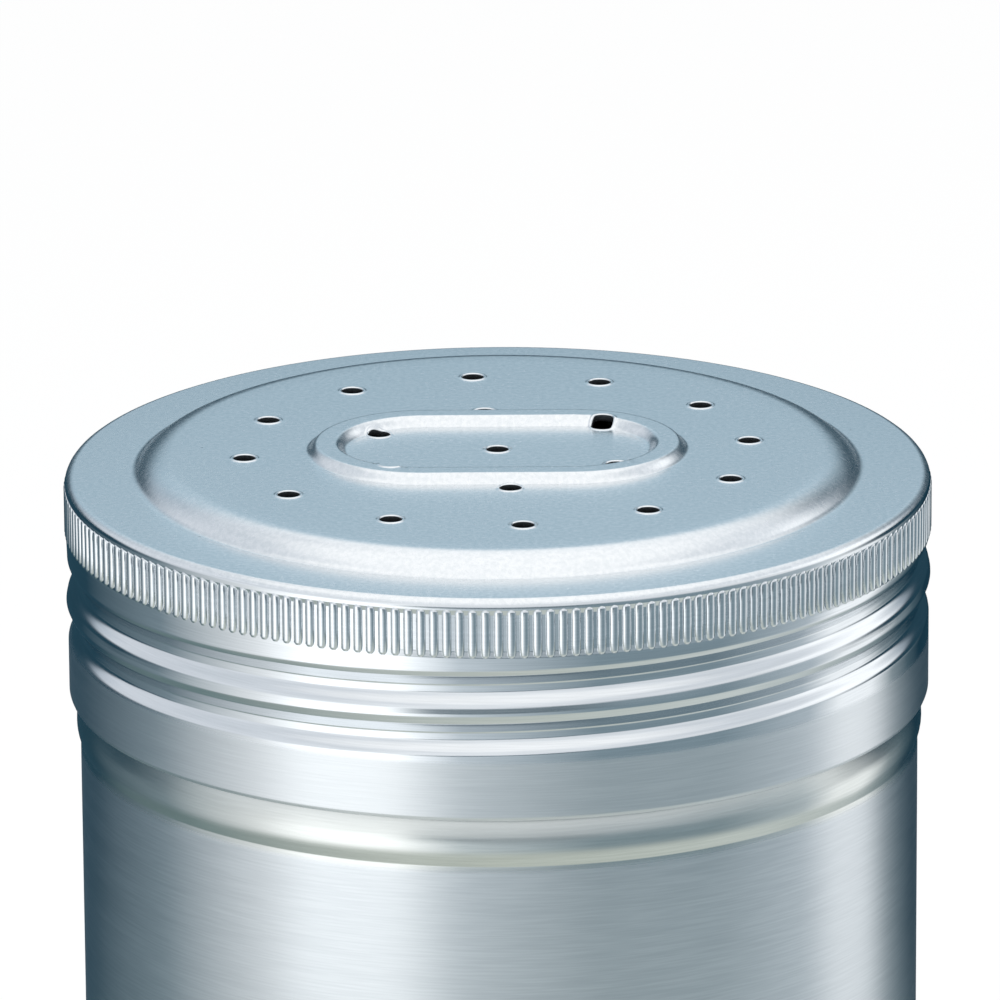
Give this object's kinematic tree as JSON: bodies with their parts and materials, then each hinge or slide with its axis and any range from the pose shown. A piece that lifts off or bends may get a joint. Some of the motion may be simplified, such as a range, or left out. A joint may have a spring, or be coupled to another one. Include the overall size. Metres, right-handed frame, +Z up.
{
  "type": "stainless spice shaker with screw cap",
  "caption": "Round steel spice shaker: a drawn can with a knurled, perforated screw cap whose raised lid sheds spice when turned over and shaken.",
  "frame": {"origin": "centre of the ring that the can stands on", "axes": "+Z up the can's axis to the lid, X and Y across it, with the lid's stiffening rib lying along X"},
  "size_m": [0.068, 0.068, 0.105],
  "materials": {
    "can_steel": "brushed round the can in fine hairlines",
    "cap_steel": "satin lid, brighter worked edges on the knurl and the thread",
    "packing_rubber": "plain white food-grade rubber"
  },
  "bodies": {
    "can": {"can": "can_steel"},
    "packing_ring": {"packing_ring": "packing_rubber"},
    "cap": {"cap": "cap_steel"}
  },
  "joints": [
    {"name": "cap_rise", "type": "slide", "parent": "can", "child": "packing_ring", "axis": [0, 0, 1], "range_m": [0, 0.019]},
    {"name": "cap_turn", "type": "hinge", "parent": "packing_ring", "child": "cap", "pos_m": [0, 0, 0.1022], "axis": [0, 0, 1], "range_deg": [0, 1800]}
  ],
  "couplings": [
    {"joint": "cap_rise", "follows": "cap_turn", "m_per_rad": 0.00060479}
  ]
}
